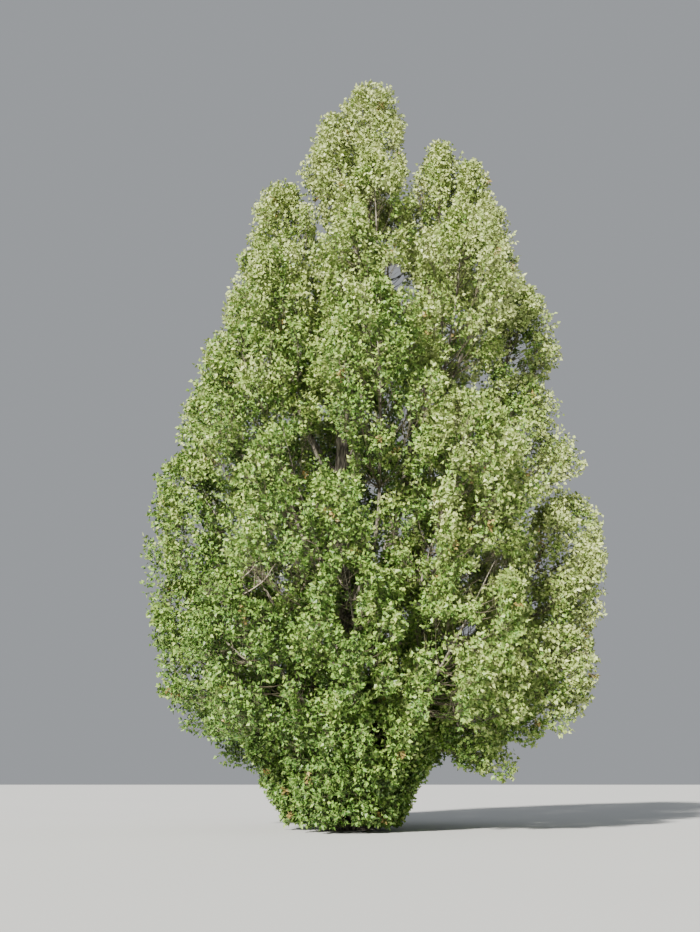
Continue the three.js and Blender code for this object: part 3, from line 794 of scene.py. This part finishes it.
# The share of a flame's skin below each level along it.
levels = np.linspace(0, 1, 400)
skin_below = np.cumsum(fullness(levels) + LEAST_SKIN)
skin_below = (skin_below - skin_below[0]) / (skin_below[-1] - skin_below[0])

# Their tips are spread evenly over the flame and turn round it by the golden angle.
which, t, angle = [], [], []
for space in range(len(masses)):
    denser = BUSH_DENSITY if IN_BUSH[space] else 1
    count = int(BRANCHLETS_PER_AREA * denser * LENGTH[space] * GIRTH[space])
    at = (np.arange(count) + chance.uniform(*BRANCHLET_STRAY, count)) / count
    which.append(np.full(count, space))
    t.append(FIRST_TIP + TIP_SPAN * np.interp(at, skin_below, levels))
    angle.append(np.arange(count) * GOLDEN_ANGLE + chance.normal(0, TURN_STRAY, count))
which, t, angle = np.concatenate(which), np.concatenate(t), np.concatenate(angle)
plume = chance.uniform(*PLUME_RADIUS, len(t))
plume = np.minimum(plume, SMALL_PLUME + PLUME_SHARE * GIRTH[which] * fullness(t))
reach = reach_out(which, t, angle)
reach = reach * (LEAST_REACH + REACH_SPREAD * chance.random(len(t)) ** REACH_RARITY)

# The lobes: each tip belongs to the nearest, which says how far out it stands and where its middle is.
crease, lobe_lot, lobe_middle = np.zeros(len(t)), np.ones(len(t)), np.zeros((len(t), 3))
for space in range(len(masses)):
    count = int(SKIN * GIRTH[space] * LENGTH[space] / LOBE_SPACING**2)
    lobe_t = np.interp((np.arange(count) + 0.5) / count, skin_below, levels)
    lobe_angle = np.arange(count) * GOLDEN_ANGLE + chance.normal(0, LOBE_STRAY, count) + space
    mine = np.flatnonzero(which == space)
    turn_apart = np.abs((angle[mine, None] - lobe_angle + np.pi) % (2 * np.pi) - np.pi)
    apart = np.hypot(
        (t[mine, None] - lobe_t) * LENGTH[space],
        turn_apart * (fullness(t[mine]) * GIRTH[space])[:, None],
    )
    nearest = apart.argmin(axis=1)
    lobe_lot[mine] = chance.random(count)[nearest]
    of_space = np.full(count, space)
    inside = (LOBE_MIDDLE * GIRTH[space] * fullness(lobe_t))[:, None] * outward(of_space, lobe_angle)
    lobe_middle[mine] = (along(of_space, lobe_t) + inside)[nearest]
    apart = apart.min(axis=1)
    if IN_BUSH[space]:
        lobe_lot[mine] *= BUSH_LOBES
        apart = apart * BUSH_LOBES
    crease[mine] = 1 - np.sqrt(np.clip(1 - (apart / (LOBE_RADIUS * LOBE_SPACING)) ** 2, 0, 1))
level = along(which, t)[:, 2]
stand_out = LOBE_REACH - np.interp(level, LOW_AND_HIGH, LOBE_FALL) * lobe_lot
stand_out -= np.interp(level, LOW_AND_HIGH, LOBE_DEPTH) * crease
reach = np.where(reach > LEAST_ROOM, np.maximum(reach * stand_out - PLUME_INSET * plume, SHORTEST_REACH), 0)

start = stem_point(which, np.clip(t - BRANCHLET_CLIMB * reach / LENGTH[which], *STARTS))
start[:, 2] = np.maximum(start[:, 2], LOWEST_START)
tip = along(which, t) + outward(which, angle) * reach[:, None]

# The bush at the foot is drawn in to its edge, and its lowest shoots come straight from the trunk.
in_bush = IN_BUSH[which]
allowed = FOOT_REACH + FOOT_SPREAD * np.maximum(tip[:, 2], 0) - BUSH_INSET * plume
pulled = np.minimum(1, allowed / np.maximum(from_foot(tip), 1e-6))[:, None]
drawn_in = FOOT_MIDDLE + (tip[:, :2] - FOOT_MIDDLE) * pulled
tip[:, :2] = np.where(in_bush[:, None], drawn_in, tip[:, :2])
sucker = in_bush & (tip[:, 2] < SUCKER_HEIGHT)
on_bark = unit(tip * [1, 1, 0]) * trunk_radius(np.array(SUCKER_GIRTH_AT), 0.0)
on_bark[:, 2] += SUCKER_START + SUCKER_START_RISE * tip[:, 2]
start = np.where(sucker[:, None], on_bark, start)
kept = (tip[:, 2] > LOWEST_TIP) & (reach > 0)
which, t, angle, reach, plume, start, tip, in_bush, stand_out, lobe_middle = (
    a[kept] for a in (which, t, angle, reach, plume, start, tip, in_bush, stand_out, lobe_middle)
)
out = outward(which, angle)
corner = start + (out * (SWING_OUT * reach)[:, None] + AXIS[which] * (SWING_ON * reach)[:, None])


def branchlet_point(index, s):
    return curved(start[index], corner[index], tip[index], s)


# Those near the crown's surface bear leaves, and some deeper ones, but none in a window.
around = unit(np.array([
    [x, y, z] for x in (-1, 0, 1) for y in (-1, 0, 1) for z in (-1, 0, 1) if x or y or z
], float))
near_surface = np.any([~in_crown(tip + SHELL * direction) for direction in around], axis=0)
leafy = near_surface | (chance.random(len(tip)) < np.interp(tip[:, 2], LOW_AND_HIGH, DEEP_SHARE))
bearing = np.flatnonzero(leafy & ~in_window(tip))

# Their twigs leave the outer part of the branchlet and end on a ball about its tip, a little taller than
# wide and open at the back. One with too few of them has died off.
TWIGS_PER_BRANCHLET = 17
TWIG_FIRST = 0.45  # where along its branchlet the first twig starts
TWIG_CROWDING = 0.7  # of the others to its tip
TWIG_BACK = -0.45  # how far back the ball reaches, from -1 to 1
TWIG_ENDS = (0.78, 1.06)  # from the ball's middle, of its radius
PLACE_STRAY = (0.1, 0.9)
TWIG_STRAY = 0.12
PLUME_STRETCH = 1.2
PLUME_OUT = 0.8  # how much it faces away from the stem, and up
PLUME_UP = 0.6
ASKEW = [0.3, 0.2, 1.0]
BEYOND = 0.15  # how far past its space a twig may reach, of the space's radius
LOWEST_TWIG = 0.1
FURTHER_OUT = 0.3  # than the solids of the crown, at most
HIGHER_UP = 0.05
LEAST_TWIGS = 6

rows = np.repeat(bearing, TWIGS_PER_BRANCHLET)
order = np.tile(np.arange(TWIGS_PER_BRANCHLET), len(bearing))
facing = unit(out[rows] * PLUME_OUT + [0, 0, PLUME_UP])
sideways = unit(np.cross(facing, ASKEW))
ahead = 1 - (1 - TWIG_BACK) * (order + chance.uniform(*PLACE_STRAY, len(rows))) / TWIGS_PER_BRANCHLET
turn = order * GOLDEN_ANGLE + chance.uniform(0, 2 * np.pi, len(which))[rows]
round_about = at_angle(sideways, np.cross(facing, sideways), turn)
away = facing * ahead[:, None] + round_about * np.sqrt(1 - ahead**2)[:, None]
away = unit(away + chance.normal(0, TWIG_STRAY, away.shape))
away[:, 2] *= PLUME_STRETCH
twig_start = branchlet_point(rows, TWIG_FIRST + (1 - TWIG_FIRST) * (0.5 + 0.5 * ahead) ** TWIG_CROWDING)
twig_end = tip[rows] + away * (plume[rows] * chance.uniform(*TWIG_ENDS, len(rows)))[:, None]
most = room(which, t, angle) + BEYOND
crown_low = np.array(cad_box[0]) - FURTHER_OUT
crown_high = np.array(cad_box[1]) + [FURTHER_OUT, FURTHER_OUT, HIGHER_UP]
kept = in_bush[rows] | held(twig_end, which[rows], most[rows])
kept &= (twig_end[:, 2] > LOWEST_TWIG) & ~in_window(twig_end) & in_foot(twig_end, which[rows])
kept &= ((twig_end > crown_low) & (twig_end < crown_high)).all(axis=1)
twigs_left = np.bincount(rows[kept], minlength=len(which))
kept &= twigs_left[rows] >= LEAST_TWIGS
bearing = np.flatnonzero(twigs_left >= LEAST_TWIGS)
rows, twig_start, twig_end = (a[kept] for a in (rows, twig_start, twig_end))
twig_length = np.linalg.norm(twig_end - twig_start, axis=1)
twig_way = (twig_end - twig_start) / twig_length[:, None]


def make_streaked(name, roughness, scale, detail, dark, pale, relief):
    """A finish for thin wood: fine streaks from a dark stop to a pale one, which also stand out."""
    material, tree, shader, place = new_material(name, roughness)
    streaks = noise_at(tree, place, scale, detail)
    tree.links.new(ramped(tree, streaks, dark, pale), shader.inputs["Base Color"])
    roughen(tree, shader, streaks, relief, 0.004)
    return material


TWIG_DARK = (0.35, (0.05, 0.044, 0.028, 1))
TWIG_PALE = (0.7, (0.19, 0.165, 0.1, 1))
twig_bark = make_streaked("twig_bark", 0.7, 26.0, 3.0, TWIG_DARK, TWIG_PALE, 0.4)
s = np.linspace(0, 1, BRANCHLET_POINTS)
branchlet_wood = new_wood(
    "branchlet_wood",
    [branchlet_point(np.full(BRANCHLET_POINTS, k), s) for k in bearing],
    [BRANCHLET_RADIUS * min(1, LEAST_THICKNESS + reach[k] / THICKENING) * (1 - s) for k in bearing],
    BRANCHLET_SIDES,
    twig_bark,
)
branchlet_wood.data.shade_smooth()
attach(branchlet_wood, "root")


# The twigs: thin brown shoots of this year and last, which leave the branchlets all round and curve up a
# little to their ends. Each is one tapering length of wood that bears the leaves.
TWIG_RADIUS = 0.007
TWIG_SIDES = 3
TWIG_POINTS = 2
TWIG_LIFT = 0.12  # of its length


def twig_point(index, v):
    lift = np.array([0, 0, TWIG_LIFT]) * (twig_length[index] * v * v)[..., None]
    return twig_start[index] + twig_way[index] * (twig_length[index] * v)[..., None] + lift


v = np.linspace(0, 1, TWIG_POINTS)
twig_wood = new_wood(
    "twig_wood",
    [twig_point(np.full(TWIG_POINTS, k), v) for k in range(len(rows))],
    [TWIG_RADIUS * (1 - v)] * len(rows),
    TWIG_SIDES,
    twig_bark,
)
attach(twig_wood, "root")


# The dead branches: a few bare grey ones that still stand in the hollows of the crown. Each grows from
# the nearest limb below it, turns up, and forks into short brittle side twigs near its tip.
DEAD_TIPS = [
    (2.75, -2.2, 16.0), (3.2, -2.3, 15.1), (2.2, -2.0, 15.6), (-2.9, -4.4, 8.5),
    (-2.4, -4.5, 8.2), (-1.7, -3.4, 13.9), (-0.5, -4.8, 8.2), (3.2, -3.6, 4.2),
]
DEAD_RADIUS = 0.032
DEAD_TIP_RADIUS = 0.006
DEAD_SIDES = 6
DEAD_POINTS = 9
DEAD_RISE = 0.9  # from root to tip, at least
DEAD_CORNER = np.array([0.75, 0.75, 0.25])  # of its bend, of the way to its tip
DEAD_KINKS = 0.012
DEAD_TWIGS = 9
DEAD_TWIG_FIRST = 0.35  # where the first leaves the branch
DEAD_TWIG_SPAN = 0.6  # from there to the last
DEAD_TWIG_WAY = np.array([0, -0.3, 0.9])
DEAD_TWIG_LENGTH = (0.3, 0.75)
DEAD_TWIG_LIFT = 0.35  # of its length
DEAD_TWIG_WANE = 1.2
DEAD_TWIG_RADIUS = 0.35  # of the branch's
DEAD_TWIG_TAPER = 0.8
DEAD_TWIG_POINTS = 4
DEAD_DARK = (0.3, (0.2, 0.165, 0.12, 1))
DEAD_PALE = (0.7, (0.52, 0.45, 0.35, 1))

limb_line = [trunk_point(np.linspace(0.05, 0.95, 80)), leader_point(np.linspace(0.1, 0.95, 60))]
limb_line = np.concatenate(limb_line + stems)
dead_chains, dead_radii = [], []
s = np.linspace(0, 1, DEAD_POINTS)
way = np.linspace(0, 1, DEAD_TWIG_POINTS)
for end in np.array(DEAD_TIPS):
    low_enough = limb_line[limb_line[:, 2] < end[2] - DEAD_RISE]
    root = low_enough[np.argmin(np.linalg.norm(low_enough - end, axis=1))]
    branch = curved(root, root + (end - root) * DEAD_CORNER, end, s)
    branch += chance.normal(0, DEAD_KINKS, branch.shape) * s[:, None]
    dead_chains.append(branch)
    dead_radii.append(DEAD_TIP_RADIUS + (DEAD_RADIUS - DEAD_TIP_RADIUS) * (1 - s))
    for twig in range(DEAD_TWIGS):
        share = DEAD_TWIG_FIRST + DEAD_TWIG_SPAN * (twig + chance.random()) / DEAD_TWIGS
        at = np.array([np.interp(share, s, branch[:, axis]) for axis in range(3)])
        aslant = unit(chance.normal(0, 1, 3) + DEAD_TWIG_WAY)
        long = chance.uniform(*DEAD_TWIG_LENGTH) * (DEAD_TWIG_WANE - share)
        lift = np.array([0, 0, DEAD_TWIG_LIFT * long]) * way[:, None] ** 2
        dead_chains.append(at + aslant * long * way[:, None] + lift)
        taper = 1 - way * DEAD_TWIG_TAPER
        dead_radii.append(DEAD_TWIG_RADIUS * DEAD_RADIUS * taper * (DEAD_TWIG_WANE - share))
dead_wood = make_streaked("dead_wood", 0.85, 18.0, 4.0, DEAD_DARK, DEAD_PALE, 0.5)
deadwood = new_wood("deadwood", dead_chains, dead_radii, DEAD_SIDES, dead_wood)
deadwood.data.shade_smooth()
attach(deadwood, "root")


# The leaves: long-stalked blades, straight across at the base, broadest low down and drawn out to a
# point, folded along the rib. They stand off their twigs all round and turn their faces out of the crown.
LEAVES_PER_TWIG = 10
LEAF_LENGTH = 0.155
LEAF_SIZES = (0.72, 1.12)
LEAF_WIDTH = 0.82  # of its length
LEAF_SHOULDER = 0.3  # where along it is widest
LEAF_FOLD = 0.1  # how far its edges rise above the rib, of its length
LEAF_START = 0.36  # where along its twig the first leaf stands
LEAF_STRAY = 0.8  # of the distance to the next leaf, at most
TWIG_TURN = 2.4  # from twig to twig
LEAF_FORWARD = 0.55  # how much it points along its twig, over away from it
LEAF_DROOP = 0.3  # and down
LAST_LEAF = 0.94  # from here on along the twig it points less away
LAST_LEAF_ASIDE = 0.3
STALK = 0.035
LOWEST_LEAF = 0.17
LEAST_LEAVES = 25  # a branchlet with fewer stays bare
PLUME_FACING = 0.7  # how strongly leaves face out of their plume
LOBE_FACING = 1.1  # out of their lobe
TWIG_FACING = 0.25  # away from their twig
UP_FACING = 0.05  # and up
FACE_STRAY = 0.5
FLUTTER = 1.1
NUDGE = np.array([0.001, 0, 0])  # so that no direction is without length
# From the green of the lowest sprays and of painted shade in the creases to the pale olive of the highest,
# which also carries painted sunlight, and the bronze of a few that have turned: the colours of a young and
# an old leaf, from 0 to 255.
TINTS = {
    "deep": ((72, 108, 36), (42, 76, 24)),
    "green": ((96, 134, 51), (62, 102, 36)),
    "mid": ((118, 151, 64), (84, 122, 45)),
    "light": ((138, 162, 78), (102, 134, 56)),
    "olive": ((153, 169, 93), (116, 142, 67)),
    "pale": ((180, 190, 126), (141, 160, 92)),
    "bronze": ((148, 122, 70), (112, 102, 52)),
}
RIB_COLOUR = (196, 200, 130)
LEAF_ROUGHNESS = 0.42
LEAF_SPECULAR = 0.3
TINT_AND_PAINTED_LIGHT_RISE = 1.45  # how much paler a leaf is at the top than at the ground: partly the leaves' own colour, partly painted sunlight at the top and painted shade low down
PAINTED_SUN_TO_RIGHT = 0.85  # and at the right low down: painted sunlight
TINT_OF_LOTS = 0.4  # by chance
LOT_SHARES = (0.35, 0.65)  # of that, by the mass and by the branchlet
LEAF_TINT_SPREAD = 0.18  # from leaf to leaf on one twig
YOUNG_AND_PAINTED_SHADE_OUTWARD = 0.75  # and at a twig's end: partly because leaves there are young, partly painted shade on the inner leaves near the branchlet
PAINTED_CREASE_SHADE = 1.2  # and on the lobes than in the creases: painted shade in the creases
BRONZE_SHARE = 0.008  # of the twigs


def linear(colour):
    share = np.array(colour) / 255
    return (*np.where(share < 0.04045, share / 12.92, ((share + 0.055) / 1.055) ** 2.4), 1)


def make_leaf_finish(tint, young, old):
    """Patches of young and old green, mottled, with a pale rib."""
    material, tree, shader, place = new_material("leaf_" + tint, LEAF_ROUGHNESS)
    patches = ranged(tree, noise_at(tree, place, 2.2, 2.0), low=0.35, high=0.65)
    mottle = ranged(tree, noise_at(tree, place, 24.0, 2.0), low=0.3, high=0.7, least=0.78, most=1.18)
    mottled = scaled(tree, mixed(tree, patches, linear(old), linear(young)), mottle)
    edge = add_node(tree, "ShaderNodeAttribute", {"attribute_name": "from_rib"})
    rib = ranged(tree, edge.outputs["Fac"], low=0.03, high=0.14, least=0.45, most=0.0)
    tree.links.new(mixed(tree, rib, mottled, linear(RIB_COLOUR)), shader.inputs["Base Color"])
    shader.inputs["Specular IOR Level"].default_value = LEAF_SPECULAR
    return material


def make_leaf_pattern():
    """One blade along +Y with its face to +Z, one metre long."""
    half = LEAF_WIDTH / 2
    vertices = [(0, 0, 0), (half, LEAF_SHOULDER, LEAF_FOLD), (0, 1, 0), (-half, LEAF_SHOULDER, LEAF_FOLD)]
    piece = new_piece("leaf_pattern", vertices, [(0, 1, 2), (0, 2, 3)])
    give(piece, "from_rib", np.array([0, 1, 0, 1]))
    return piece


def leaf_tree():
    """One leaf on each point, along its aim, facing its face, with a seeded flutter."""
    tree, given, made = tree_with(
        "leaves_on_points",
        {"Leaf": "Object", "Length": "Float", "Flutter": "Float", "Seed": "Int", "Finish": "Material"},
    )
    rotation = {}
    for name, axis, pivot in (("aim", "Y", "AUTO"), ("face", "Z", "Y")):
        rotation["Vector"] = given_as(tree, name, "FLOAT_VECTOR")
        settings = {"axis": axis, "pivot_axis": pivot}
        aligned = add_node(tree, "FunctionNodeAlignRotationToVector", settings, **rotation)
        rotation["Rotation"] = aligned.outputs["Rotation"]
    most = given.outputs["Flutter"]
    ends = {"Min": product(tree, most, -1.0), "Max": most, "Seed": given.outputs["Seed"]}
    flutter = add_node(tree, "FunctionNodeRandomValue", {"data_type": "FLOAT_VECTOR"}, **ends)
    turned = add_node(
        tree,
        "FunctionNodeRotateRotation",
        {"rotation_space": "LOCAL"},
        Rotation=rotation["Rotation"],
        Rotate_By=flutter.outputs["Value"],
    )
    pattern = add_node(tree, "GeometryNodeObjectInfo", Object=given.outputs["Leaf"])
    placed = add_node(
        tree,
        "GeometryNodeInstanceOnPoints",
        Points=given.outputs["Geometry"],
        Instance=pattern.outputs["Geometry"],
        Rotation=turned.outputs["Rotation"],
        Scale=product(tree, given_as(tree, "size"), given.outputs["Length"]),
    )
    return finish_tree(tree, given, made, placed.outputs["Instances"])


# Where each leaf stands, where it points and where it faces.
twig = np.repeat(np.arange(len(rows)), LEAVES_PER_TWIG)
branchlet = rows[twig]
order = np.tile(np.arange(LEAVES_PER_TWIG), len(rows))
stray = chance.uniform(0, LEAF_STRAY, len(twig))
v = LEAF_START + (1 - LEAF_START) * (order + stray) / (LEAVES_PER_TWIG - 1 + LEAF_STRAY)
side = unit(np.cross(twig_way[twig], [0.2, 0.1, 1.0]))
around_twig = at_angle(side, np.cross(twig_way[twig], side), order * GOLDEN_ANGLE + twig * TWIG_TURN)
aside = np.where(v > LAST_LEAF, LAST_LEAF_ASIDE, 1.0)[:, None]
aim = unit(twig_way[twig] * LEAF_FORWARD + around_twig * aside + [0, 0, -LEAF_DROOP])
base = twig_point(twig, v) + aim * STALK
plume_out = unit(base - tip[branchlet] + NUDGE)
lobe_out = unit(base - lobe_middle[branchlet] + NUDGE)
face = PLUME_FACING * plume_out + LOBE_FACING * lobe_out + TWIG_FACING * around_twig + [0, 0, UP_FACING]
face = unit(face + chance.normal(0, FACE_STRAY, base.shape))
size = chance.uniform(*LEAF_SIZES, len(twig))
leaf_end = base + aim * (LEAF_LENGTH * size)[:, None]
kept = in_bush[branchlet] | held(leaf_end, which[branchlet], most[branchlet])
kept &= ((leaf_end > crown_low) & (leaf_end < crown_high)).all(axis=1)
kept &= (base[:, 2] > LOWEST_LEAF) & ~in_window(base) & in_foot(base, which[branchlet])
leaves_left = np.bincount(branchlet[kept], minlength=len(which))
kept &= leaves_left[branchlet] >= LEAST_LEAVES

# Each leaf takes a tint by its height, its side, its lobe, its place on the twig and by chance: the side
# and the lobe paint sunlight and shade into it, and the height and the place on the twig partly do.
height = np.clip(twig_start[:, 2] / TREE_HEIGHT, 0, 1)
to_right = np.clip(twig_start[:, 0] / CROWN_RADIUS, 0, 1)
lot = chance.random(len(masses))[which[rows]] * LOT_SHARES[0]
lot += chance.random(len(which))[rows] * LOT_SHARES[1]
# The side's term is painted sunlight, and the height's is partly painted sunlight and shade.
tone_and_painted_light = TINT_AND_PAINTED_LIGHT_RISE * height + TINT_OF_LOTS * lot + PAINTED_SUN_TO_RIGHT * to_right * (1 - height)
bronze = (chance.random(len(rows)) < BRONZE_SHARE)[twig]
tone_and_painted_light = tone_and_painted_light[twig] + chance.normal(0, LEAF_TINT_SPREAD, len(twig))
# The lobe's term is painted shade in the creases, and the twig's is partly painted shade on inner leaves.
tone_and_painted_light += YOUNG_AND_PAINTED_SHADE_OUTWARD * v + PAINTED_CREASE_SHADE * stand_out[branchlet]
greens = [name for name in TINTS if name != "bronze"]
ranked = np.flatnonzero(kept & ~bronze)
ranked = ranked[np.argsort(tone_and_painted_light[ranked], kind="stable")]
dealt = dict(zip(greens, np.array_split(ranked, len(greens))))
dealt["bronze"] = np.flatnonzero(kept & bronze)

leaf_pattern = make_leaf_pattern()
leaves_on_points = leaf_tree()
for index, (tint, (young, old)) in enumerate(TINTS.items()):
    chosen = np.sort(dealt[tint])
    leaves = new_piece("leaves_" + tint, base[chosen], [])
    for name, values in (("aim", aim), ("face", face), ("size", size)):
        give(leaves, name, values[chosen])
    finish = make_leaf_finish(tint, young, old)
    inputs = {"Leaf": leaf_pattern, "Length": LEAF_LENGTH, "Flutter": FLUTTER, "Seed": SEED + index}
    settle(leaves, leaves_on_points, Finish=finish, **inputs)
    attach(leaves, "root")
    if index == 0:
        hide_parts(*[m[0] for m in masses])
bpy.data.objects.remove(leaf_pattern)
